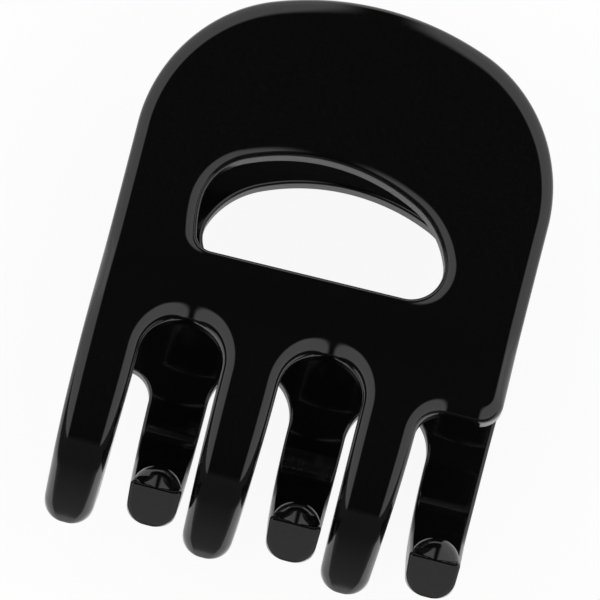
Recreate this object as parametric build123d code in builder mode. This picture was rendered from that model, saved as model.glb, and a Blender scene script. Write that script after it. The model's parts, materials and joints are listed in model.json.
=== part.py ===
from build123d import *
from math import acos, asin, atan, atan2, ceil, cos, degrees, pi, radians, sin, sqrt
import os

# Hair clip: two like jaws on a sprung hinge. Sizes in millimetres, angles in degrees.
# The clip lies on its rear jaw: X across it, Y along it towards the grips, Z up through the front jaw.
# The origin is under the middle of the clip, on the surface that it lies on.
# Heights and depths along Y, and distances along Z, are measured from the hinge pin.

# Outline of a jaw, seen square on
clip_width = 55.0
grip_height = 39.2
shoulder_height = 18.0
grip_top_radius = 43.0
tooth_depth = 32.8
arch_top_depth = 6.5
notch_top_depth = 10.3
notch_radius = 3.4
plate_corner_radius = 3.0
tooth_count = 3
gap_clearance = 3.3
notch_clearance = 2.5
left_taper_share = 0.046
right_taper_share = 0.144
tooth_end_share = 0.38

# Finger opening in the grip: fullest high up at the left and low down at the right,
# with one tight and one rounder lower corner
opening_left_width = 16.9
opening_right_width = 16.3
opening_top_height = 19.1
opening_top_place = -1.9
opening_left_height = 10.2
opening_right_height = 6.3
opening_foot_height = 4.15
opening_flank_radius = 20.0
opening_right_bend_share = 0.866
opening_tight_corner = 2.4
opening_round_corner = 4.4
opening_tilt = 0.8

# Side profile of a jaw: the middle of the plate
plate_thickness = 5.0
half_depth = 17.0
waist_height = 5.0
waist_half_gap = 6.8
bulge_depth = 12.5
band_flat_length = 7.0
waist_bend_share = 0.5
tooth_angle = 70.0
tip_crossing = 8.0
tip_wall = 0.6

# Rounded edges of a jaw
outer_edge_radius = 1.6
inner_edge_radius = 0.45

# Hinge leaf: sheet bent to the inside of a jaw, with two ears round the pin
leaf_thickness = 0.8
leaf_half_width = 11.6
leaf_top_height = 4.0
leaf_foot_depth = 2.0
leaf_corner_radius = 0.9
ear_thickness = 0.8
ear_radius = 1.75
ear_place = 6.0
ear_gap = 0.15

# Hinge pin, with a head at one end and a push-on cap at the other
pin_radius = 0.9
pin_clearance = 0.05
pin_head_radius = 1.6
pin_head_thickness = 0.7
cap_thickness = 1.1
pin_tail = 0.25
pin_edge_radius = 0.2

# Rivets that hold the leaves to the jaws
rivet_place = 9.9
rivet_radius = 0.75
rivet_grip = 2.2
rivet_head_radius = 1.25
rivet_head_thickness = 0.6
rivet_edge_radius = 0.2

# Torsion spring round the pin, with a straight leg on each leaf
wire_diameter = 0.9
coil_radius = 2.45
coil_pitch = 1.4
coil_full_turns = 6
leg_length = 4.6
leg_clearance = 0.03
turn_parts = 4
gap_samples = 48

overrun = 5.0

# Hinge pin and the planes through it
half_thickness = plate_thickness / 2
half_width = clip_width / 2
pin_y = (tooth_depth - grip_height) / 2
pin_place = Vector(0, pin_y, half_depth)
face_plane = Plane(origin=pin_place, x_dir=(1, 0, 0), z_dir=(0, 0, 1))
side_plane = Plane(origin=pin_place, x_dir=(0, 1, 0), z_dir=(1, 0, 0))
turn_axis = Axis(pin_place, (0, 1, 0))

# Flare of the grip: one bend whose rounded top edge ends at half the depth of the clip
flare_run = grip_height - outer_edge_radius - waist_height
flare_rise = half_depth - outer_edge_radius - waist_half_gap
edge_offset = outer_edge_radius - half_thickness
flare_radius = (flare_run**2 + flare_rise**2 - edge_offset**2) / (2 * (flare_rise + edge_offset))
flare_angle = degrees(asin((grip_height - waist_height + overrun) / flare_radius))

# Waist and bulge: two opposite bends with a flat stretch of the band between them
bulge_run = waist_height + bulge_depth
bulge_rise = half_depth - half_thickness - waist_half_gap
bend_sum = (bulge_run**2 + bulge_rise**2 - band_flat_length**2) / (2 * bulge_rise)
bend_angle = degrees(atan2(bulge_run, bend_sum - bulge_rise) - atan(band_flat_length / bend_sum))
waist_radius = waist_bend_share * bend_sum
bulge_radius = bend_sum - waist_radius
waist_centre = Vector(waist_height, waist_half_gap + waist_radius)

# Tooth: a bend from the bulge into a straight end that crosses the clip's middle
tooth_sine, tooth_cosine = sin(radians(tooth_angle)), cos(radians(tooth_angle))
hook_run = tooth_depth - half_thickness * tooth_sine - bulge_depth
hook_fall = half_depth + tip_crossing - tip_wall - half_thickness * (1 - tooth_cosine)
hook_radius = (hook_run * tooth_sine - hook_fall * tooth_cosine) / (1 - tooth_cosine)
hook_straight = (hook_run - hook_radius * tooth_sine) / tooth_cosine

# Outline: teeth that pass through the other jaw's gaps and notch with a clearance, arches between them,
# and the bends of the grip's shoulders and top
tooth_width = (clip_width - notch_clearance - gap_clearance * (tooth_count - 1)) / (2 * tooth_count)
tooth_pitch = 2 * tooth_width + gap_clearance
tooth_end_radius = tooth_end_share * tooth_width
left_taper = left_taper_share * tooth_width
right_taper = right_taper_share * tooth_width
arch_radius = (tooth_pitch - tooth_width) / 2
arch_spring = -(arch_top_depth + arch_radius)
shoulder_rise = grip_top_radius - (grip_height - shoulder_height)
shoulder_radius = (grip_top_radius**2 - half_width**2 - shoulder_rise**2) / (
    2 * (grip_top_radius - half_width)
)
top_centre = grip_height - grip_top_radius
shoulder_turn = degrees(atan2(shoulder_rise, half_width - shoulder_radius))

# Finger opening, measured from its foot: bends at the right, the top, the left and the left flank
opening_top = opening_top_height - opening_foot_height
opening_left = opening_left_height - opening_foot_height
opening_right = opening_right_height - opening_foot_height
right_bend = opening_right_bend_share * (opening_top - opening_right)
right_centre = (opening_right_width - right_bend, opening_right)
right_spread = right_centre[0] - opening_top_place
top_bend = (right_spread**2 + (opening_top - opening_right) ** 2 - right_bend**2) / (
    2 * (opening_top - opening_right - right_bend)
)
bend_centre = (opening_top_place, opening_top - top_bend)
right_turn = degrees(atan2(right_centre[1] - bend_centre[1], right_spread))
left_spread = opening_left_width + opening_top_place
left_rise = opening_left - bend_centre[1]
left_bend = (top_bend**2 - left_spread**2 - left_rise**2) / (2 * (top_bend - left_spread))
left_centre = (left_bend - opening_left_width, opening_left)
left_turn = degrees(atan2(left_rise, left_centre[0] - bend_centre[0]))
flank_centre = (opening_flank_radius - opening_left_width, opening_left)
flank_dip = degrees(asin(opening_left / opening_flank_radius))
right_dip = degrees(asin(opening_right / right_bend))
left_foot = flank_centre[0] - opening_flank_radius * cos(radians(flank_dip))
right_foot = right_centre[0] + right_bend * cos(radians(right_dip))

# Hinge leaf: a band of the waist's own bend, between two radial ends
leaf_outer_radius = waist_radius + half_thickness
leaf_inner_radius = leaf_outer_radius + leaf_thickness
leaf_top_angle = asin((leaf_top_height - waist_height) / leaf_outer_radius)
leaf_foot_angle = -asin((leaf_foot_depth + waist_height) / leaf_outer_radius)
rivet_angle = (leaf_top_angle + leaf_foot_angle) / 2
rear_ear_place = ear_place + ear_thickness + ear_gap
pin_end_place = rear_ear_place + ear_thickness + ear_gap


def about_waist(radius, angle):
    """Point of the side plane at a radius and an angle about the waist's centre."""
    return waist_centre + Vector(radius * sin(angle), -radius * cos(angle))


def tooth_side(x, start, taper, side):
    """One side of a tooth, which leaves the vertical gently to narrow the tooth; gives its lower end."""
    run = tooth_depth + start
    radius = (run**2 + taper**2) / (2 * taper)
    return JernArc((x, start), (0, -1), radius, side * degrees(asin(run / radius))) @ 1


# Outline of a jaw
with BuildSketch(face_plane) as jaw_outline:
    with BuildLine():
        left_end = tooth_side(-half_width, arch_spring, left_taper, 1)
        for number in range(tooth_count):
            right = tooth_pitch * number + tooth_width - half_width
            last = number == tooth_count - 1
            side_start = -notch_top_depth if last else arch_spring
            right_end = tooth_side(right, side_start, right_taper, -1)
            Line(left_end, right_end)
            if last:
                Line((right, side_start), (half_width, side_start))
            else:
                ThreePointArc(
                    (right, arch_spring),
                    (right + arch_radius, -arch_top_depth),
                    (right + 2 * arch_radius, arch_spring),
                )
                left_end = tooth_side(right + 2 * arch_radius, arch_spring, left_taper, 1)
        Line((half_width, -notch_top_depth), (half_width, shoulder_height))
        CenterArc((half_width - shoulder_radius, shoulder_height), shoulder_radius, 0, shoulder_turn)
        CenterArc((0, top_centre), grip_top_radius, shoulder_turn, 180 - 2 * shoulder_turn)
        CenterArc(
            (shoulder_radius - half_width, shoulder_height),
            shoulder_radius,
            180 - shoulder_turn,
            shoulder_turn,
        )
        Line((-half_width, shoulder_height), (-half_width, arch_spring))
    make_face()
    fillet(jaw_outline.vertices().group_by(Axis.Y)[0], tooth_end_radius)
    notch_inside = Vector(right, pin_y - notch_top_depth, half_depth)
    fillet(jaw_outline.vertices().sort_by_distance(notch_inside)[0], notch_radius)
    notch_outside = Vector(half_width, pin_y - notch_top_depth, half_depth)
    fillet(jaw_outline.vertices().sort_by_distance(notch_outside)[0], plate_corner_radius)

# Outline of the finger opening, turned a little about the middle of its foot
opening_plane = Plane(
    origin=pin_place + Vector(0, opening_foot_height),
    x_dir=(cos(radians(opening_tilt)), sin(radians(opening_tilt)), 0),
    z_dir=(0, 0, 1),
)
with BuildSketch(opening_plane) as finger_opening:
    with BuildLine():
        CenterArc(right_centre, right_bend, -right_dip, right_dip + right_turn)
        CenterArc(bend_centre, top_bend, right_turn, left_turn - right_turn)
        CenterArc(left_centre, left_bend, left_turn, 180 - left_turn)
        CenterArc(flank_centre, opening_flank_radius, 180, flank_dip)
        Line((left_foot, 0), (right_foot, 0))
    make_face()
    tight_corner = opening_plane.from_local_coords((left_foot, 0))
    fillet(finger_opening.vertices().sort_by_distance(tight_corner)[0], opening_tight_corner)
    round_corner = opening_plane.from_local_coords((right_foot, 0))
    fillet(finger_opening.vertices().sort_by_distance(round_corner)[0], opening_round_corner)

# Planes of the rivets: on the inside of a leaf, facing the jaw
rivet_origin = side_plane.from_local_coords(about_waist(leaf_inner_radius, rivet_angle))
rivet_plane = Plane(origin=rivet_origin, x_dir=(1, 0, 0), z_dir=(0, -sin(rivet_angle), cos(rivet_angle)))
rivet_axis = Axis(rivet_origin, rivet_plane.z_dir)

# Front jaw: the bent plate, cut to its outline
with BuildPart() as front_jaw:
    with BuildSketch(side_plane):
        with BuildLine():
            JernArc((waist_height, waist_half_gap), (1, 0), flare_radius, flare_angle)
            waist = JernArc((waist_height, waist_half_gap), (-1, 0), waist_radius, -bend_angle)
            flat = Line(waist @ 1, waist @ 1 + (waist % 1) * band_flat_length)
            bulge = JernArc(flat @ 1, flat % 1, bulge_radius, bend_angle)
            hook = JernArc(bulge @ 1, bulge % 1, hook_radius, tooth_angle)
            Line(hook @ 1, hook @ 1 + (hook % 1) * (hook_straight + overrun))
        trace(line_width=plate_thickness)
    extrude(amount=half_width + overrun, both=True)
    extrude(jaw_outline.sketch, amount=2 * half_depth, both=True, mode=Mode.INTERSECT)
    extrude(finger_opening.sketch, amount=2 * half_depth, both=True, mode=Mode.SUBTRACT)
    split(bisect_by=face_plane.offset(-tip_crossing), keep=Keep.TOP)
    walls = front_jaw.faces().filter_by(lambda face: abs(face.normal_at().Z) < 0.01)
    outside = front_jaw.faces().filter_by(lambda face: face.normal_at().Z > 0.01)
    inside = front_jaw.faces().filter_by(lambda face: -0.99 < face.normal_at().Z < -0.01)
    wall_edges = walls.edges()
    inner_middles = [edge @ 0.5 for edge in inside.edges() if edge in wall_edges]
    fillet([edge for edge in outside.edges() if edge in wall_edges], outer_edge_radius)
    inner_edges = [front_jaw.edges().sort_by_distance(middle)[0] for middle in inner_middles]
    fillet(inner_edges, inner_edge_radius)
    with BuildSketch(rivet_plane) as rivet_shanks:
        with GridLocations(2 * rivet_place, 0, 2, 1):
            Circle(rivet_radius)
    extrude(rivet_shanks.sketch, amount=leaf_thickness + rivet_grip, mode=Mode.SUBTRACT)
front_jaw.part.label = "front_jaw"

# Rear jaw: the same, turned half round
with BuildPart() as rear_jaw:
    add(front_jaw.part.rotate(turn_axis, 180))
rear_jaw.part.label = "rear_jaw"

# Section of a leaf, and its ears as the leaf's section run in to a ring round the pin
with BuildSketch(side_plane) as leaf_section:
    with Locations(waist_centre):
        Circle(leaf_inner_radius)
        Circle(leaf_outer_radius, mode=Mode.SUBTRACT)
    with BuildLine():
        Polyline(
            waist_centre,
            about_waist(2 * leaf_inner_radius, leaf_top_angle),
            about_waist(2 * leaf_inner_radius, leaf_foot_angle),
            close=True,
        )
    make_face(mode=Mode.INTERSECT)
with BuildSketch(side_plane) as ear_section:
    Circle(ear_radius)
    add(leaf_section.sketch_local)
    make_hull(ear_section.edges())
    with Locations(waist_centre):
        Circle(leaf_outer_radius, mode=Mode.SUBTRACT)
    Circle(pin_radius + pin_clearance, mode=Mode.SUBTRACT)


def ear_face(place):
    """Ear section at a place along the pin."""
    return ear_section.sketch.moved(Location((place, 0, 0)))


# Front hinge leaf
with BuildPart() as front_hinge_leaf:
    extrude(leaf_section.sketch, amount=leaf_half_width, both=True)
    fillet(front_hinge_leaf.edges().sort_by(SortBy.LENGTH)[:4], leaf_corner_radius)
    extrude(ear_face(ear_place), amount=ear_thickness)
    extrude(ear_face(-ear_place), amount=-ear_thickness)
    extrude(rivet_shanks.sketch, amount=leaf_thickness + rivet_grip, mode=Mode.SUBTRACT)
front_hinge_leaf.part.label = "front_hinge_leaf"

# Rear hinge leaf: its ears lie outside those of the front leaf
with BuildPart() as rear_leaf_blank:
    extrude(leaf_section.sketch, amount=leaf_half_width, both=True)
    fillet(rear_leaf_blank.edges().sort_by(SortBy.LENGTH)[:4], leaf_corner_radius)
    extrude(ear_face(rear_ear_place), amount=ear_thickness)
    extrude(ear_face(-rear_ear_place), amount=-ear_thickness)
    extrude(rivet_shanks.sketch, amount=leaf_thickness + rivet_grip, mode=Mode.SUBTRACT)
with BuildPart() as rear_hinge_leaf:
    add(rear_leaf_blank.part.rotate(turn_axis, 180))
rear_hinge_leaf.part.label = "rear_hinge_leaf"

# Rivets: a round head on the inside of the leaf, and a shank set in the jaw
rivets = {}
for side_name, side in (("left", -1), ("right", 1)):
    with BuildPart() as rivet:
        with BuildSketch(rivet_plane.offset(-rivet_head_thickness)):
            with Locations((side * rivet_place, 0)):
                Circle(rivet_head_radius)
        extrude(amount=rivet_head_thickness)
        fillet(rivet.edges().group_by(rivet_axis)[0], rivet_edge_radius)
        with BuildSketch(rivet_plane):
            with Locations((side * rivet_place, 0)):
                Circle(rivet_radius)
        extrude(amount=leaf_thickness + rivet_grip)
    rivets[f"front_rivet_{side_name}"] = rivet.part
    rivets[f"rear_rivet_{side_name}"] = rivet.part.rotate(turn_axis, 180)

# Hinge pin, from its head at the left to its tail through the cap
with BuildPart() as hinge_pin:
    with BuildSketch(side_plane.offset(-pin_end_place - pin_head_thickness)):
        Circle(pin_head_radius)
    extrude(amount=pin_head_thickness)
    fillet(hinge_pin.edges().group_by(Axis.X)[0], pin_edge_radius)
    with BuildSketch(side_plane.offset(-pin_end_place)):
        Circle(pin_radius)
    extrude(amount=2 * pin_end_place + cap_thickness + pin_tail)
    fillet(hinge_pin.edges().group_by(Axis.X)[-1], pin_edge_radius)
hinge_pin.part.label = "hinge_pin"

# Cap pushed on to the tail of the pin
with BuildPart() as pin_cap:
    with BuildSketch(side_plane.offset(pin_end_place)):
        Circle(pin_head_radius)
        Circle(pin_radius, mode=Mode.SUBTRACT)
    extrude(amount=cap_thickness)
    fillet(pin_cap.edges().group_by(Axis.X)[-1].sort_by(SortBy.LENGTH)[-1], pin_edge_radius)
pin_cap.part.label = "pin_cap"

# Torsion spring. Its legs leave the coil at the tilt that lays them along the leaves.
leg_reach = leaf_inner_radius + wire_diameter / 2 + leg_clearance
leg_tilt = degrees(
    acos((coil_radius + leg_reach) / waist_centre.length) - atan2(waist_centre.X, waist_centre.Y)
)
coil_angle = 360 * coil_full_turns + 180 - 2 * leg_tilt
coil_steps = ceil(coil_angle * turn_parts / 360)
coil_width = coil_pitch * coil_angle / 360


def coil_point(share):
    """Point of the coil's middle line at a share of its whole angle."""
    angle = radians(leg_tilt + coil_angle * share)
    return pin_place + Vector(
        coil_width * (share - 0.5), -coil_radius * sin(angle), -coil_radius * cos(angle)
    )


def coil_direction(share):
    """Direction of the coil at a share of its whole angle."""
    angle = radians(leg_tilt + coil_angle * share)
    climb = coil_pitch / (2 * pi)
    return Vector(climb, -coil_radius * cos(angle), coil_radius * sin(angle)).normalized()


def biarc_joint(start, start_direction, end, end_direction):
    """Point where two arcs meet that join two points in the given directions."""
    chord = end - start
    both = start_direction + end_direction
    spread = 2 * (1 - start_direction.dot(end_direction))
    across = chord.dot(both)
    reach = (sqrt(across**2 + spread * chord.dot(chord)) - across) / spread
    return (start + start_direction * reach + end - end_direction * reach) / 2


with BuildPart() as torsion_spring:
    with BuildLine() as wire_line:
        first = coil_point(0) - coil_direction(0) * leg_length
        Line(first, coil_point(0))
        for step in range(coil_steps):
            start_share = step / coil_steps
            end_share = (step + 1) / coil_steps
            joint = biarc_joint(
                coil_point(start_share),
                coil_direction(start_share),
                coil_point(end_share),
                coil_direction(end_share),
            )
            near_arc = TangentArc(coil_point(start_share), joint, tangent=coil_direction(start_share))
            TangentArc(joint, coil_point(end_share), tangent=near_arc % 1)
        Line(coil_point(1), coil_point(1) + coil_direction(1) * leg_length)
    with BuildSketch(Plane(origin=first, z_dir=coil_direction(0))):
        Circle(wire_diameter / 2)
    sweep()
torsion_spring.part.label = "torsion_spring"

# Least gap of the wire to itself, between points at least half a turn apart
middle_line = wire_line.wire()
sample_count = gap_samples * (coil_full_turns + 1)
samples = [middle_line @ (number / sample_count) for number in range(sample_count + 1)]
apart = ceil(pi * coil_radius / middle_line.length * sample_count)
least = min(
    (samples[one] - samples[other]).length
    for one in range(sample_count + 1)
    for other in range(one + apart, sample_count + 1)
)
print("torsion spring: wire", round(middle_line.length, 2), "least gap", round(least - wire_diameter, 3))

# Written files
pieces = {
    "front_jaw": front_jaw.part,
    "rear_jaw": rear_jaw.part,
    "front_hinge_leaf": front_hinge_leaf.part,
    "rear_hinge_leaf": rear_hinge_leaf.part,
    "hinge_pin": hinge_pin.part,
    "pin_cap": pin_cap.part,
    "torsion_spring": torsion_spring.part,
    **rivets,
}
os.makedirs("parts", exist_ok=True)
for name, piece in pieces.items():
    piece.label = name
    export_step(piece, f"parts/{name}.step")
    print(name, round(piece.volume, 2), len(piece.solids()), piece.is_valid)
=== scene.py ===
import json
import math

import bpy
import numpy as np
from mathutils import Matrix, Vector, geometry


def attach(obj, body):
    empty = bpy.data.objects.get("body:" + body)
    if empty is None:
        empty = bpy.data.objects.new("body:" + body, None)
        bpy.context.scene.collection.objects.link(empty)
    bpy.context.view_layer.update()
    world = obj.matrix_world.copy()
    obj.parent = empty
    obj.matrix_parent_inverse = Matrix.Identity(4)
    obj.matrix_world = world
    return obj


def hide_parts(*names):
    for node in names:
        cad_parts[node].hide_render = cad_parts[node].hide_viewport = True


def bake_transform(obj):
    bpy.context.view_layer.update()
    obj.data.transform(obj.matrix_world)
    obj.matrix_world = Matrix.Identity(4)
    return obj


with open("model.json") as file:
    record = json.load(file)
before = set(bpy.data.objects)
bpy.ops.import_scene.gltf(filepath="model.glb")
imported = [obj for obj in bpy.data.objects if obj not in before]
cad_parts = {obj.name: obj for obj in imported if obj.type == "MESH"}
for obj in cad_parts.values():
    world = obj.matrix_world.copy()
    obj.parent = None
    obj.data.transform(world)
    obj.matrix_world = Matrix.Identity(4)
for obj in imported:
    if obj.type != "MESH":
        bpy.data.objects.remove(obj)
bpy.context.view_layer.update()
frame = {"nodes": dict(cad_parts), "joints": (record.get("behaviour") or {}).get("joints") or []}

MM = 0.001
scene = bpy.context.scene
pin = np.array(frame["joints"][0]["pos_m"]) / MM

# Outline of a jaw in millimetres, measured from the hinge pin
clip_width = 55.0
grip_height = 39.2
shoulder_height = 18.0
grip_top_radius = 43.0
tooth_depth = 32.8
arch_top_depth = 6.5
notch_top_depth = 10.3
notch_radius = 3.4
plate_corner_radius = 3.0
tooth_count = 3
gap_clearance = 3.3
notch_clearance = 2.5
left_taper_share = 0.046
right_taper_share = 0.144
tooth_end_share = 0.38
half_width = clip_width / 2
tooth_width = (clip_width - notch_clearance - gap_clearance * (tooth_count - 1)) / (2 * tooth_count)
tooth_pitch = 2 * tooth_width + gap_clearance
left_taper = left_taper_share * tooth_width
right_taper = right_taper_share * tooth_width
tooth_end_radius = tooth_end_share * tooth_width

# Finger opening
opening_left_width = 16.9
opening_right_width = 16.3
opening_top_height = 19.1
opening_top_place = -1.9
opening_left_height = 10.2
opening_right_height = 6.3
opening_foot_height = 4.15
opening_flank_radius = 20.0
opening_right_bend_share = 0.866
opening_tight_corner = 2.4
opening_round_corner = 4.4
opening_tilt = math.radians(0.8)

# Side profile and rounded edges of a jaw
plate_thickness = 5.0
half_depth = 17.0
waist_height = 5.0
waist_half_gap = 6.8
bulge_depth = 12.5
band_flat_length = 7.0
waist_bend_share = 0.5
tooth_angle = math.radians(70.0)
tip_crossing = 8.0
tip_wall = 0.6
outer_edge_radius = 1.6
inner_edge_radius = 0.45
tooth_end_edge = 0.25

# Pads on the inner side of the teeth. The place is the first one's middle, from the jaw's left side.
pad_place = 3.55
pad_half_width = 3.3
pad_height = 3.3
pad_depth = 3.4
pad_sink = 0.1

# Hinge leaf and spring
leaf_thickness = 0.8
wire_radius = 0.45
coil_radius = 2.45
coil_pitch = 1.4
coil_full_turns = 6
leg_length = 4.6
leg_clearance = 0.03
wire_end_edge = 0.1

# How far the profile runs on past the grip's top, the tooth's end and its cut. The zone is the place along
# the clip below which the profile is cut.
flare_overrun = 6.0
tooth_overrun = 8.0
cut_overrun = 12.0
tooth_end_zone = -20.0
cut_tolerance = 0.05

# Steps and spacings of the meshes
flare_steps = 500
bend_steps = 200
flat_steps = 20
hook_steps = 300
end_edge_steps = 12
cut_steps = 60
outline_spacing = 0.35
shared_point_gap = 1e-3
outer_edge_steps = 10
inner_edge_steps = 4
rolling_rounds = 6
row_spacing = 0.5
least_row_gap = 0.02
column_spacing = 1.1
rim_clearance = 0.3
join_tolerance = 1e-7
spots_at_once = 4000
pad_sides = 48
pad_rings = 27
coil_points = 260
leg_points = 15
wire_sides = 20


# Side profile

def bend(y, z, heading, turn, radius, steps):
    """Arc in the side plane: points stepped evenly round a circle that starts along the heading."""
    side = 1.0 if turn > 0 else -1.0
    centre_y = y - side * radius * math.sin(heading)
    centre_z = z + side * radius * math.cos(heading)
    headings = heading + np.linspace(0.0, turn, steps)
    return np.stack(
        [
            centre_y + side * radius * np.sin(headings),
            centre_z - side * radius * np.cos(headings),
            headings,
        ],
        axis=1,
    )


def run_on(last, length, steps):
    """Straight stretch in the side plane from the last point, along its heading."""
    along = np.linspace(0.0, length, steps)
    return np.stack(
        [
            last[0] + along * math.cos(last[2]),
            last[1] + along * math.sin(last[2]),
            np.full(steps, last[2]),
        ],
        axis=1,
    )


def plate_middle():
    """Middle line of the plate in the side plane, from above the grip's top edge to below the tooth's
    end: the flare's one bend, the waist, the flat of the band, the bulge, the hook and the tooth's
    straight end, each tangent to the last. Gives the waist's radius too."""
    half = plate_thickness / 2
    run = grip_height - outer_edge_radius - waist_height
    rise = half_depth - outer_edge_radius - waist_half_gap
    offset = outer_edge_radius - half
    flare_radius = (run**2 + rise**2 - offset**2) / (2 * (rise + offset))
    flare_turn = math.asin((run + flare_overrun) / flare_radius)
    flare = bend(waist_height, waist_half_gap, 0.0, flare_turn, flare_radius, flare_steps)
    flare = flare[::-1].copy()
    flare[:, 2] += math.pi
    run = waist_height + bulge_depth
    rise = half_depth - half - waist_half_gap
    both = (run**2 + rise**2 - band_flat_length**2) / (2 * rise)
    turn = math.atan2(run, both - rise) - math.atan(band_flat_length / both)
    waist_radius = waist_bend_share * both
    waist = bend(waist_height, waist_half_gap, math.pi, -turn, waist_radius, bend_steps)
    flat = run_on(waist[-1], band_flat_length, flat_steps)
    bulge = bend(*flat[-1], turn, both - waist_radius, bend_steps)
    sine, cosine = math.sin(tooth_angle), math.cos(tooth_angle)
    run = tooth_depth - half * sine - bulge_depth
    fall = half_depth - half + tip_crossing - tip_wall + half * cosine
    hook_radius = (run * sine - fall * cosine) / (1 - cosine)
    hook = bend(*bulge[-1], tooth_angle, hook_radius, hook_steps)
    end = run_on(hook[-1], (run - hook_radius * sine) / cosine + tooth_overrun, bend_steps)
    return np.concatenate([flare, waist[1:], flat[1:], bulge[1:], hook[1:], end[1:]]), waist_radius


middle, waist_radius = plate_middle()
across = np.stack([np.sin(middle[:, 2]), -np.cos(middle[:, 2])], axis=1)
outer_line = np.column_stack([middle[:, :2] + across * plate_thickness / 2, middle[:, 2]])
inner_line = np.column_stack([middle[:, :2] - across * plate_thickness / 2, middle[:, 2]])


def with_tooth_end(line):
    """The inner line, cut by the tooth's end plane, with a small round where they meet. Gives the place
    of the cut too."""
    last_y, last_z, heading = line[-1]
    corner_y = last_y + (-tip_crossing - last_z) / math.tan(heading)
    turn = heading - math.pi
    back = tooth_end_edge * math.tan(turn / 2)
    start_y = corner_y - back * math.cos(heading)
    start_z = -tip_crossing - back * math.sin(heading)
    before = line[(line[:, 1] > start_z + cut_tolerance) | (line[:, 0] > tooth_end_zone)]
    rounded = bend(start_y, start_z, heading, -turn, tooth_end_edge, end_edge_steps)
    level = run_on(rounded[-1], cut_overrun, cut_steps)
    return np.concatenate([before, rounded, level[1:]]), corner_y


inner_line, tooth_end_top = with_tooth_end(inner_line)


def height_and_slope(line, y):
    """Height of a profile line over places along the clip, with the two parts of its unit normal on the
    outer side."""
    order = line[::-1]
    heading = np.interp(y, order[:, 0], order[:, 2])
    return np.interp(y, order[:, 0], order[:, 1]), np.sin(heading), -np.cos(heading)


# Outlines, as loops of points with the direction that points out of the plastic

def arc(centre, radius, start, end, spacing=outline_spacing, inward=False):
    """Arc of an outline; its outward direction is away from its centre, or towards it on an inside
    bend."""
    count = max(3, int(math.ceil(abs(end - start) * radius / spacing)) + 1)
    angles = np.linspace(start, end, count)
    way = np.stack([np.cos(angles), np.sin(angles)], axis=1)
    return np.concatenate([np.array(centre) + radius * way, -way if inward else way], axis=1)


def straight(start, end, spacing=outline_spacing):
    """Straight stretch of an outline; outward is to the right of the way that it runs."""
    start, end = np.array(start, float), np.array(end, float)
    length = np.linalg.norm(end - start)
    share = np.linspace(0.0, 1.0, max(2, int(math.ceil(length / spacing)) + 1))[:, None]
    way = (end - start) / length
    out = np.broadcast_to([way[1], -way[0]], (len(share), 2))
    return np.concatenate([start + share * (end - start), out], axis=1)


def joined(parts):
    """Parts of a closed outline in one loop, with each shared point kept once."""
    loop = np.concatenate(parts)
    gap = np.linalg.norm(loop[:, :2] - np.roll(loop[:, :2], 1, axis=0), axis=1)
    return loop[gap > shared_point_gap]


def tooth_side(x, top, taper, side):
    """Side of a tooth, from the top of its straight part to its end; the side is -1 on the left. It
    leaves the upright on a large circle that has come in by the taper at the tooth's depth, and meets
    the end on a small circle that both touch from inside. Gives the large circle's centre and radius,
    its angle where the small one starts, and the small one's centre."""
    run = tooth_depth + top
    radius = (run**2 + taper**2) / (2 * taper)
    centre = (x - side * radius, top)
    corner_y = tooth_end_radius - tooth_depth
    reach = math.sqrt((radius - tooth_end_radius) ** 2 - (corner_y - top) ** 2)
    return centre, radius, math.atan2(corner_y - top, side * reach), (centre[0] + side * reach, corner_y)


def jaw_outline():
    """Outline of a jaw, run so that the plastic is on the left: down and up the teeth, then round the
    grip."""
    arch_radius = (tooth_pitch - tooth_width) / 2
    arch_spring = -arch_top_depth - arch_radius
    quarter = math.pi / 2
    loop = []
    for number in range(tooth_count):
        left = tooth_pitch * number - half_width
        right = left + tooth_width
        last = number == tooth_count - 1
        top = -notch_top_depth if last else arch_spring
        left_bow, left_radius, left_low, left_corner = tooth_side(left, arch_spring, left_taper, -1)
        bow, bow_radius, low, corner = tooth_side(right, top, right_taper, 1)
        loop += [
            arc(left_bow, left_radius, -math.pi, left_low),
            arc(left_corner, tooth_end_radius, left_low, -quarter),
            straight((left_corner[0], -tooth_depth), (corner[0], -tooth_depth)),
            arc(corner, tooth_end_radius, -quarter, low),
        ]
        if not last:
            loop += [
                arc(bow, bow_radius, low, 0.0),
                arc((right + arch_radius, arch_spring), arch_radius, math.pi, 0.0, inward=True),
            ]
    bend_y = top - notch_radius
    bend_x = bow[0] + math.sqrt((bow_radius + notch_radius) ** 2 - notch_radius**2)
    high = math.atan2(-notch_radius, bend_x - bow[0])
    plate_corner = (half_width - plate_corner_radius, top + plate_corner_radius)
    rise = grip_top_radius - grip_height + shoulder_height
    shoulder_radius = (grip_top_radius**2 - half_width**2 - rise**2) / (2 * (grip_top_radius - half_width))
    shoulder_x = half_width - shoulder_radius
    turn = math.atan2(rise, shoulder_x)
    loop += [
        arc(bow, bow_radius, low, high),
        arc((bend_x, bend_y), notch_radius, high + math.pi, quarter, inward=True),
        straight((bend_x, top), (plate_corner[0], top)),
        arc(plate_corner, plate_corner_radius, -quarter, 0.0),
        straight((half_width, plate_corner[1]), (half_width, shoulder_height)),
        arc((shoulder_x, shoulder_height), shoulder_radius, 0.0, turn),
        arc((0.0, grip_height - grip_top_radius), grip_top_radius, turn, math.pi - turn),
        arc((-shoulder_x, shoulder_height), shoulder_radius, math.pi - turn, math.pi),
        straight((-half_width, shoulder_height), (-half_width, arch_spring)),
    ]
    return joined(loop)


def foot_corner(centre, radius, corner, side):
    """Small circle that rounds a lower corner of the finger opening: it lies on the foot line and
    touches a side's circle from inside. Gives its centre, and the angle of the place where they
    touch."""
    reach = math.sqrt((radius - corner) ** 2 - (corner - centre[1]) ** 2)
    return (centre[0] + side * reach, corner), math.atan2(corner - centre[1], side * reach)


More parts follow.
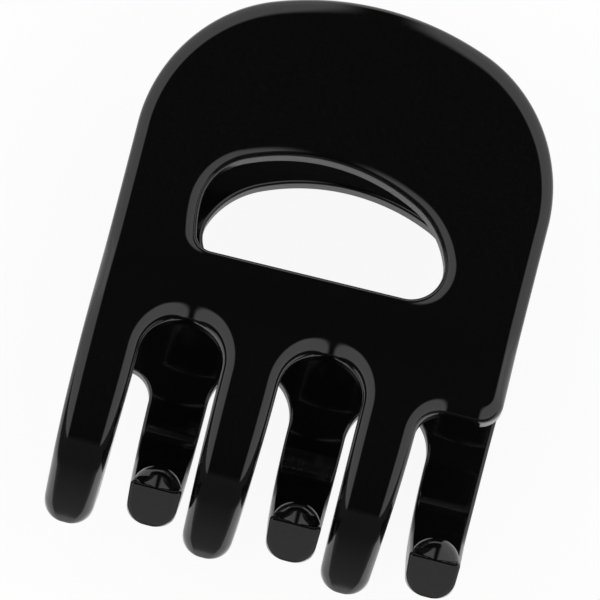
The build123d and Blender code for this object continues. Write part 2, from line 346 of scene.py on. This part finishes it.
def finger_opening():
    """Outline of the finger opening, run clockwise, turned a little about the middle of its foot. Its
    four bends touch one another: a long flank and a round shoulder at the left, the top, and one large
    bend at the right."""
    quarter = math.pi / 2
    top_y = opening_top_height - opening_foot_height
    right_y = opening_right_height - opening_foot_height
    right_radius = opening_right_bend_share * (top_y - right_y)
    right_centre = (opening_right_width - right_radius, right_y)
    spread = right_centre[0] - opening_top_place
    rise = top_y - right_centre[1]
    top_radius = (spread**2 + rise**2 - right_radius**2) / (2 * (rise - right_radius))
    top_centre = (opening_top_place, top_y - top_radius)
    left_y = opening_left_height - opening_foot_height
    spread = opening_left_width + opening_top_place
    rise = left_y - top_centre[1]
    left_radius = (top_radius**2 - spread**2 - rise**2) / (2 * (top_radius - spread))
    left_centre = (left_radius - opening_left_width, left_y)
    flank_centre = (opening_flank_radius - opening_left_width, left_y)
    tight, flank_end = foot_corner(flank_centre, opening_flank_radius, opening_tight_corner, -1)
    wide, right_end = foot_corner(right_centre, right_radius, opening_round_corner, 1)
    left_turn = math.atan2(left_centre[1] - top_centre[1], left_centre[0] - top_centre[0])
    right_turn = math.atan2(right_centre[1] - top_centre[1], right_centre[0] - top_centre[0])
    flank_end = flank_end if flank_end > 0 else flank_end + 2 * math.pi
    loop = joined(
        [
            arc(tight, opening_tight_corner, 3 * quarter, flank_end, inward=True),
            arc(flank_centre, opening_flank_radius, flank_end, math.pi, inward=True),
            arc(left_centre, left_radius, math.pi, left_turn, inward=True),
            arc(top_centre, top_radius, left_turn, right_turn, inward=True),
            arc(right_centre, right_radius, right_turn, right_end, inward=True),
            arc(wide, opening_round_corner, right_end, -quarter, inward=True),
            straight((wide[0], 0.0), (tight[0], 0.0)),
        ]
    )
    cosine, sine = math.cos(opening_tilt), math.sin(opening_tilt)
    turned = np.array([[cosine, sine], [-sine, cosine]])
    loop = np.concatenate([loop[:, :2] @ turned, loop[:, 2:] @ turned], axis=1)
    loop[:, 1] += opening_foot_height
    return loop


# Jaw mesh

def rolled_edge(loop, line, radius, side, steps):
    """Rounded edge, as a ball of the radius rolled along an outline between the wall and a face: rings
    of points and directions from the wall's side to the face's. The ball's centre lies the radius
    inside both."""
    place, out = loop[:, :2], loop[:, 2:]
    centre = place - radius * out
    normal_y = np.zeros(len(loop))
    for _ in range(rolling_rounds):
        height, ny, nz = height_and_slope(line, centre[:, 1] + radius * normal_y)
        normal_y = side * ny
    normal = np.stack([np.zeros(len(loop)), side * ny, side * nz], axis=1)
    middle_point = np.column_stack([centre, height - radius * normal[:, 2]])
    wall = np.column_stack([out, np.zeros(len(loop))])
    angle = np.arccos(np.clip((wall * normal).sum(axis=1), -1, 1))[:, None]
    rings = []
    for share in np.linspace(0.0, 1.0, steps + 1):
        way = (np.sin((1 - share) * angle) * wall + np.sin(share * angle) * normal) / np.sin(angle)
        rings.append((middle_point + radius * way, way))
    return rings


def within(spots, ring):
    """Whether each spot lies inside a closed outline: a line to its right crosses the outline an odd
    number of times. Gives the distance to the outline's nearest point as well."""
    a, b = ring[:, :2], np.roll(ring[:, :2], -1, axis=0)
    inside, near = [], []
    for spot in np.array_split(spots[:, None, :], len(spots) // spots_at_once + 1):
        crosses = (a[:, 1] > spot[..., 1]) != (b[:, 1] > spot[..., 1])
        with np.errstate(divide="ignore", invalid="ignore"):
            cut = a[:, 0] + (spot[..., 1] - a[:, 1]) * (b[:, 0] - a[:, 0]) / (b[:, 1] - a[:, 1])
        inside.append((crosses & (spot[..., 0] < cut)).sum(axis=1) % 2 == 1)
        near.append(np.linalg.norm(a - spot, axis=2).min(axis=1))
    return np.concatenate(inside), np.concatenate(near)


def filled_face(rims, line, side, count):
    """One face of the plate, inside its outline and outside its opening: a grid of points laid on the
    profile, joined in triangles to the last points of the edge rings. Gives the new points, their
    directions and the triangles."""
    rim = np.concatenate([ring for ring, _ in rims])
    edges, first = [], 0
    for ring, _ in rims:
        numbers = first + np.arange(len(ring))
        edges += np.stack([numbers, np.roll(numbers, -1)], axis=1).tolist()
        first += len(ring)
    along = np.concatenate([[0.0], np.cumsum(np.linalg.norm(np.diff(line[:, :2], axis=0), axis=1))])
    rows = np.interp(np.arange(0.0, along[-1], row_spacing), along, line[:, 0])
    rows = rows[np.concatenate([[True], np.abs(np.diff(rows)) > least_row_gap])]
    columns = np.arange(-half_width, half_width, column_spacing)
    grid = np.stack(np.meshgrid(columns, rows), axis=-1).reshape(-1, 2)
    (in_plate, to_plate), (in_opening, to_opening) = [within(grid, ring) for ring, _ in rims]
    grid = grid[in_plate & ~in_opening & (np.minimum(to_plate, to_opening) > rim_clearance)]
    flat = np.concatenate([rim[:, :2], grid])
    _, _, triangles, origins, _, _ = geometry.delaunay_2d_cdt(
        [Vector(point) for point in flat], edges, [], 0, join_tolerance, True
    )
    triangles = np.array([origin[0] for origin in origins])[np.array(triangles)]
    corners = flat[triangles]
    in_plate, in_opening = [within(corners.mean(axis=1), ring)[0] for ring, _ in rims]
    triangles, corners = triangles[in_plate & ~in_opening], corners[in_plate & ~in_opening]
    area = np.cross(corners[:, 1] - corners[:, 0], corners[:, 2] - corners[:, 0])
    triangles = np.where(((area > 0) == (side > 0))[:, None], triangles, triangles[:, ::-1])
    height, ny, nz = height_and_slope(line, grid[:, 1])
    ways = side * np.stack([np.zeros(len(grid)), ny, nz], axis=1)
    numbers = [start + np.arange(len(ring)) for ring, start in rims] + [count + np.arange(len(grid))]
    return np.column_stack([grid, height]), ways, np.concatenate(numbers)[triangles]


def tooth_pads(count):
    """Rounded pads on the inner side of the teeth, whose upper halves show over the teeth's end planes:
    ellipsoids, each a centre and three half-widths times the direction given by a turn and a tilt.
    Gives points, directions, four-sided faces, and the many-sided faces that close the poles; the
    points' numbers start at the count."""
    turns = np.linspace(0, 2 * math.pi, pad_sides + 1)[:-1]
    turn, tilt = np.meshgrid(turns, np.linspace(0, math.pi, pad_rings + 1)[1:-1])
    way = np.stack([np.sin(tilt) * np.cos(turn), np.sin(tilt) * np.sin(turn), np.cos(tilt)], axis=-1)
    way = way.reshape(-1, 3)
    half = np.array([pad_half_width, pad_height, pad_depth])
    centres = np.stack(
        [
            pad_place - half_width + tooth_pitch * np.arange(tooth_count),
            np.full(tooth_count, tooth_end_top),
            np.full(tooth_count, pad_depth + pad_sink - tip_crossing),
        ],
        axis=1,
    )
    points = centres[:, None, :] + half * way
    ways = way / half / np.linalg.norm(way / half, axis=1)[:, None]
    number = np.arange(len(way)).reshape(turn.shape)
    quads = np.stack(
        [number[:-1], number[1:], np.roll(number[1:], -1, axis=1), np.roll(number[:-1], -1, axis=1)],
        axis=-1,
    )
    poles = np.stack([number[0], number[-1][::-1]])
    first = count + len(way) * np.arange(tooth_count)[:, None, None]
    return (
        points.reshape(-1, 3),
        np.tile(ways, (tooth_count, 1)),
        (quads.reshape(1, -1, 4) + first).reshape(-1, 4),
        (poles[None] + first).reshape(-1, turn.shape[1]),
    )


def jaw_mesh():
    """Front jaw: for each outline, rings round its outer edge, its wall and its inner edge, then the
    two faces, and the teeth's pads. Gives points, directions, and faces in groups of one number of
    sides."""
    points, ways, quads, outer_rims, inner_rims = [], [], [], [], []
    count = 0
    for loop in (jaw_outline(), finger_opening()):
        rings = rolled_edge(loop, outer_line, outer_edge_radius, 1, outer_edge_steps)[::-1]
        rings += rolled_edge(loop, inner_line, inner_edge_radius, -1, inner_edge_steps)
        around = np.arange(len(loop))
        for number, (ring, way) in enumerate(rings):
            points.append(ring)
            ways.append(way)
            if number:
                upper = count + (number - 1) * len(loop) + around
                lower = upper + len(loop)
                quads.append(np.stack([upper, lower, np.roll(lower, -1), np.roll(upper, -1)], axis=1))
        outer_rims.append((rings[0][0], count))
        inner_rims.append((rings[-1][0], count + (len(rings) - 1) * len(loop)))
        count += len(rings) * len(loop)
    triangles = []
    for rims, line, side in ((outer_rims, outer_line, 1), (inner_rims, inner_line, -1)):
        face_points, face_ways, face_triangles = filled_face(rims, line, side, count)
        points.append(face_points)
        ways.append(face_ways)
        triangles.append(face_triangles)
        count += len(face_points)
    pad_points, pad_ways, pad_quads, pad_poles = tooth_pads(count)
    faces = (np.concatenate([*quads, pad_quads]), np.concatenate(triangles), pad_poles)
    return np.concatenate([*points, pad_points]), np.concatenate([*ways, pad_ways]), faces


def spring_mesh():
    """Torsion spring: a circle of the wire's radius carried along a leg, the coil and the other leg.
    The coil is a helix round the pin, and each leg runs straight on from its end at the tilt that lays
    it along the inside of a leaf."""
    run, rise = waist_height, waist_half_gap + waist_radius
    leg_reach = waist_radius + plate_thickness / 2 + leaf_thickness + wire_radius + leg_clearance
    tilt = math.acos((coil_radius + leg_reach) / math.hypot(run, rise)) - math.atan2(run, rise)
    angle = np.linspace(tilt, 2 * math.pi * coil_full_turns + math.pi - tilt, coil_points)
    climb = coil_pitch / (2 * math.pi)
    sine, cosine = np.sin(angle), np.cos(angle)
    place = np.stack([climb * (angle - angle.mean()), -coil_radius * sine, -coil_radius * cosine], axis=1)
    way = np.stack([np.full(len(angle), climb), -coil_radius * cosine, coil_radius * sine], axis=1)
    way /= np.linalg.norm(way, axis=1)[:, None]
    out = np.stack([np.zeros(len(angle)), -sine, -cosine], axis=1)
    leg = np.append(np.linspace(0.0, leg_length - wire_end_edge, leg_points)[1:], leg_length)[:, None]
    place = np.concatenate([place[0] - leg[::-1] * way[0], place, place[-1] + leg * way[-1]])
    near = np.clip(np.arange(len(place)) - len(leg), 0, len(angle) - 1)
    way, out = way[near], out[near]
    size, lean = np.full(len(place), wire_radius), np.zeros(len(place))
    size[[0, -1]] -= wire_end_edge
    lean[[0, -1]] = [-1.0, 1.0]
    turn = np.linspace(0.0, 2 * math.pi, wire_sides + 1)[None, :-1, None]
    spoke = np.cos(turn) * out[:, None, :] + np.sin(turn) * np.cross(way, out)[:, None, :]
    points = place[:, None, :] + size[:, None, None] * spoke
    ways = spoke + lean[:, None, None] * way[:, None, :]
    ways /= np.linalg.norm(ways, axis=2)[:, :, None]
    number = np.arange(points.shape[0] * points.shape[1]).reshape(points.shape[:2])
    quads = np.stack(
        [number[:-1], np.roll(number[:-1], -1, axis=1), np.roll(number[1:], -1, axis=1), number[1:]],
        axis=-1,
    )
    ends = np.stack([number[0][::-1], number[-1]])
    return points.reshape(-1, 3), ways.reshape(-1, 3), (quads.reshape(-1, 4), ends)


def built(name, points, ways, faces, material):
    """Mesh object from arrays in millimetres about the pin, smooth, with the given directions as its
    normals."""
    mesh = bpy.data.meshes.new(name)
    polygons = [face for group in faces for face in group.tolist()]
    mesh.from_pydata(((points + pin) * MM).tolist(), [], polygons)
    mesh.polygons.foreach_set("use_smooth", np.ones(len(polygons), bool))
    mesh.update()
    mesh.normals_split_custom_set_from_vertices(ways.tolist())
    mesh.materials.append(material)
    piece = bpy.data.objects.new(name, mesh)
    scene.collection.objects.link(piece)
    return piece


# Materials

def shader(name, roughness, metallic=0.0, color=(0.01, 0.01, 0.01)):
    """New material with its Principled shader and node tree."""
    material = bpy.data.materials.new(name)
    material.use_nodes = True
    tree = material.node_tree
    bsdf = tree.nodes["Principled BSDF"]
    bsdf.inputs["Base Color"].default_value = (*color, 1.0)
    bsdf.inputs["Roughness"].default_value = roughness
    bsdf.inputs["Metallic"].default_value = metallic
    return material, tree, bsdf


def noise(tree, place, scale, detail):
    """Noise over a place, at a scale and a fineness."""
    node = tree.nodes.new("ShaderNodeTexNoise")
    node.inputs["Scale"].default_value = scale
    node.inputs["Detail"].default_value = detail
    tree.links.new(place, node.inputs["Vector"])
    return node.outputs["Fac"]


def mapped(tree, value, start, end, low, high, way="LINEAR"):
    """Value carried from the stretch between start and end to the one between low and high."""
    node = tree.nodes.new("ShaderNodeMapRange")
    node.interpolation_type = way
    node.inputs["From Min"].default_value = start
    node.inputs["From Max"].default_value = end
    node.inputs["To Min"].default_value = low
    node.inputs["To Max"].default_value = high
    tree.links.new(value, node.inputs["Value"])
    return node.outputs["Result"]


def mixed(tree, share, low, high):
    """Colour between two colours, by a share."""
    node = tree.nodes.new("ShaderNodeMix")
    node.data_type = "RGBA"
    node.inputs["A"].default_value = (*low, 1.0)
    node.inputs["B"].default_value = (*high, 1.0)
    tree.links.new(share, node.inputs["Factor"])
    return node.outputs["Result"]


def worked_out(tree, operation, *values):
    """Result of one operation on plain numbers and on the values of other nodes."""
    node = tree.nodes.new("ShaderNodeMath")
    node.operation = operation
    for socket, value in zip(node.inputs, values):
        if isinstance(value, float):
            socket.default_value = value
        else:
            tree.links.new(value, socket)
    return node.outputs["Value"]


def bumped(tree, bsdf, height, strength, distance):
    """Fine relief on a shader, from a height."""
    node = tree.nodes.new("ShaderNodeBump")
    node.inputs["Strength"].default_value = strength
    node.inputs["Distance"].default_value = distance
    tree.links.new(height, node.inputs["Height"])
    tree.links.new(node.outputs["Normal"], bsdf.inputs["Normal"])


def black_plastic():
    """Glossy black moulded plastic: faint flow waves, and dull specks of wear in the gloss."""
    material, tree, bsdf = shader("black_plastic", 0.1, color=(0.0028, 0.0028, 0.003))
    bsdf.inputs["IOR"].default_value = 1.5
    place = tree.nodes.new("ShaderNodeTexCoord").outputs["Object"]
    specks = noise(tree, place, scale=2500.0, detail=3.0)
    gloss = mapped(tree, specks, start=0.35, end=0.8, low=0.06, high=0.14)
    tree.links.new(gloss, bsdf.inputs["Roughness"])
    waves = noise(tree, place, scale=120.0, detail=1.5)
    bumped(tree, bsdf, waves, strength=0.05, distance=0.0002)
    return material


def cut_plastic_with_painted_sheen():
    """The same plastic where the teeth's ends were cut: dull, with a fine grain, and a greyer colour that
    is part the cut's own dullness and part painted sheen, which makes up for light that these faces
    reflect.
    """
    material, tree, bsdf = shader("cut_plastic_painted_sheen", 0.5)
    bsdf.inputs["IOR"].default_value = 1.35
    place = tree.nodes.new("ShaderNodeTexCoord").outputs["Object"]
    grain = noise(tree, place, scale=1800.0, detail=4.0)
    # The grey level of this tint is partly painted sheen that stands in for reflected light; its spread
    # with the grain is the cut's own texture
    tint = mixed(tree, grain, low=(0.012, 0.012, 0.0123), high=(0.019, 0.019, 0.0195))
    tree.links.new(tint, bsdf.inputs["Base Color"])
    bumped(tree, bsdf, grain, strength=0.2, distance=0.00003)
    return material


def plated_steel(name, color, roughness, stretch):
    """Plated steel: streaks drawn along the pin's direction or round it, with blotches in the
    plating."""
    material, tree, bsdf = shader(name, roughness, metallic=1.0, color=color)
    along = tree.nodes.new("ShaderNodeMapping")
    along.inputs["Scale"].default_value = stretch
    tree.links.new(tree.nodes.new("ShaderNodeTexCoord").outputs["Object"], along.inputs["Vector"])
    streaks = noise(tree, along.outputs["Vector"], scale=1500.0, detail=4.0)
    tint = mixed(tree, streaks, low=[0.75 * part for part in color], high=color)
    tree.links.new(tint, bsdf.inputs["Base Color"])
    gloss = mapped(tree, streaks, start=0.0, end=1.0, low=roughness - 0.08, high=roughness + 0.15)
    tree.links.new(gloss, bsdf.inputs["Roughness"])
    bumped(tree, bsdf, streaks, strength=0.15, distance=0.00005)
    return material


plastic = black_plastic()
cut_plastic_painted_sheen = cut_plastic_with_painted_sheen()
leaf_steel = plated_steel("leaf_steel", (0.5, 0.5, 0.51), 0.32, (0.15, 1.0, 1.0))
turned_steel = plated_steel("turned_steel", (0.56, 0.56, 0.56), 0.25, (1.0, 0.3, 0.3))
wire_steel = plated_steel("wire_steel", (0.4, 0.4, 0.42), 0.3, (0.2, 1.0, 1.0))

# Jaws: the faces at the teeth's cut ends take the second finish, whose greyer colour is partly painted
# sheen
points, ways, faces = jaw_mesh()
cut = (points[:, 2] < inner_edge_radius - tip_crossing) & (points[:, 1] < tooth_end_top + cut_tolerance)
cut_faces = np.concatenate([cut[group].all(axis=1) for group in faces]).astype(np.int32)
half_turn = np.array([-1.0, 1.0, -1.0])
front_plate = built("front_plate", points, ways, faces, plastic)
rear_plate = built("rear_plate", points * half_turn, ways * half_turn, faces, plastic)
for plate, node, body in ((front_plate, "front_jaw", "front_half"), (rear_plate, "rear_jaw", "rear_half")):
    plate.data.materials.append(cut_plastic_painted_sheen)
    plate.data.polygons.foreach_set("material_index", cut_faces)
    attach(plate, body)
    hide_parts(node)

# Spring: a wire round the pin in place of the CAD spring
spring_wire = built("spring_wire", *spring_mesh(), wire_steel)
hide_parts("torsion_spring")
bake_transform(spring_wire)

# Metal pieces that the CAD model already shapes
for name, node in frame["nodes"].items():
    if "leaf" in name or "rivet" in name:
        node.data.materials.clear()
        node.data.materials.append(leaf_steel)
    elif name in ("hinge_pin", "pin_cap"):
        node.data.materials.clear()
        node.data.materials.append(turned_steel)

# Floor: a pale board that ends in front of the teeth, on a table that fades to dark away from it
board_front = -0.048
board_edge = -0.002
floor_reach = 3.0
board_white_share = 0.92
mirrored_white_share = 0.2


def pale_board():
    """Pale board, seen mostly as plain white by the camera, and in part as white in reflections."""
    material, tree, bsdf = shader("pale_board", 0.7, color=(0.93, 0.93, 0.93))
    rays = tree.nodes.new("ShaderNodeLightPath").outputs
    seen = worked_out(tree, "MAXIMUM", rays["Is Camera Ray"], rays["Is Transmission Ray"])
    seen_share = worked_out(tree, "MULTIPLY", seen, board_white_share)
    white_share = worked_out(tree, "MULTIPLY_ADD", rays["Is Glossy Ray"], mirrored_white_share, seen_share)
    white = tree.nodes.new("ShaderNodeEmission")
    white.inputs["Strength"].default_value = 1.0
    both = tree.nodes.new("ShaderNodeMixShader")
    tree.links.new(white_share, both.inputs["Fac"])
    tree.links.new(bsdf.outputs["BSDF"], both.inputs[1])
    tree.links.new(white.outputs["Emission"], both.inputs[2])
    tree.links.new(both.outputs["Shader"], tree.nodes["Material Output"].inputs["Surface"])
    return material


def fading_table():
    """Table that is grey beside the board and fades to dark within a few millimetres in front of it."""
    material, tree, bsdf = shader("grey_table", 0.8)
    way = tree.nodes.new("ShaderNodeSeparateXYZ")
    tree.links.new(tree.nodes.new("ShaderNodeTexCoord").outputs["Object"], way.inputs["Vector"])
    fade = mapped(tree, way.outputs["Y"], start=-0.06, end=-0.047, low=0.045, high=0.25)
    tree.links.new(fade, bsdf.inputs["Base Color"])
    return material


def staged(name, corners, faces, material):
    """Flat piece of the surroundings, which isn't part of the clip."""
    mesh = bpy.data.meshes.new(name)
    mesh.from_pydata(corners, [], faces)
    mesh.materials.append(material)
    piece = bpy.data.objects.new(name, mesh)
    scene.collection.objects.link(piece)


staged(
    "floor",
    [
        (-floor_reach, board_front, 0),
        (floor_reach, board_front, 0),
        (floor_reach, floor_reach, 0),
        (-floor_reach, floor_reach, 0),
        (-floor_reach, board_front, board_edge),
        (floor_reach, board_front, board_edge),
    ],
    [(0, 1, 2, 3), (4, 5, 1, 0)],
    pale_board(),
)
staged(
    "table",
    [
        (-floor_reach, -floor_reach, board_edge),
        (floor_reach, -floor_reach, board_edge),
        (floor_reach, floor_reach, board_edge),
        (-floor_reach, floor_reach, board_edge),
    ],
    [(0, 1, 2, 3)],
    fading_table(),
)


# Surroundings: a pale tent with a dark slot along the clip, above the horizon, where the camera stands

def studio():
    """Light from all round: pale walls either side of the slot, whose edges are soft, and a dim glow at
    the horizon inside it."""
    world = bpy.data.worlds.new("studio")
    world.use_nodes = True
    tree = world.node_tree
    way = tree.nodes.new("ShaderNodeSeparateXYZ")
    tree.links.new(tree.nodes.new("ShaderNodeTexCoord").outputs["Generated"], way.inputs["Vector"])
    aside_share = worked_out(tree, "ABSOLUTE", way.outputs["X"])
    walls = mapped(tree, aside_share, start=0.06, end=0.26, low=0.0, high=1.0, way="SMOOTHSTEP")
    glow = mapped(tree, way.outputs["Z"], start=0.06, end=0.035, low=0.0, high=0.045, way="SMOOTHSTEP")
    tent = worked_out(tree, "MAXIMUM", walls, glow)
    shade = mixed(tree, tent, low=(0.007, 0.007, 0.007), high=(1.0, 1.0, 1.0))
    tree.links.new(shade, tree.nodes["Background"].inputs["Color"])
    tree.nodes["Background"].inputs["Strength"].default_value = 1.25
    return world


scene.world = studio()

# Camera: from the front, a little below and to the right, with the clip leaning in the frame
distance = 1400.0
below = math.radians(10.0)
aside = math.radians(0.1)
lean = math.radians(14.45)
photograph_width = 600
pixels_per_mm = 7.675
sensor_width = 36.0
aim_left = 1.36
aim_up = 2.1
back = Vector((math.tan(aside), -math.sin(below), math.cos(below))).normalized()
up = (Vector((0, 1, 0)) - back * back.y).normalized()
right = up.cross(back)
aim = Vector(pin) - aim_left * right + aim_up * up
camera_data = bpy.data.cameras.new("camera")
camera = bpy.data.objects.new("camera", camera_data)
scene.collection.objects.link(camera)
camera_data.sensor_width = sensor_width
camera_data.lens = sensor_width * distance * pixels_per_mm / photograph_width
camera_data.clip_start = 0.05
camera_data.clip_end = 20.0
turned_up = up * math.cos(lean) - right * math.sin(lean)
turned_right = right * math.cos(lean) + up * math.sin(lean)
axes = Matrix((turned_right, turned_up, back)).transposed()
camera.matrix_world = Matrix.Translation((aim + back * distance) * MM) @ axes.to_4x4()
scene.camera = camera
scene.view_settings.view_transform = "Standard"
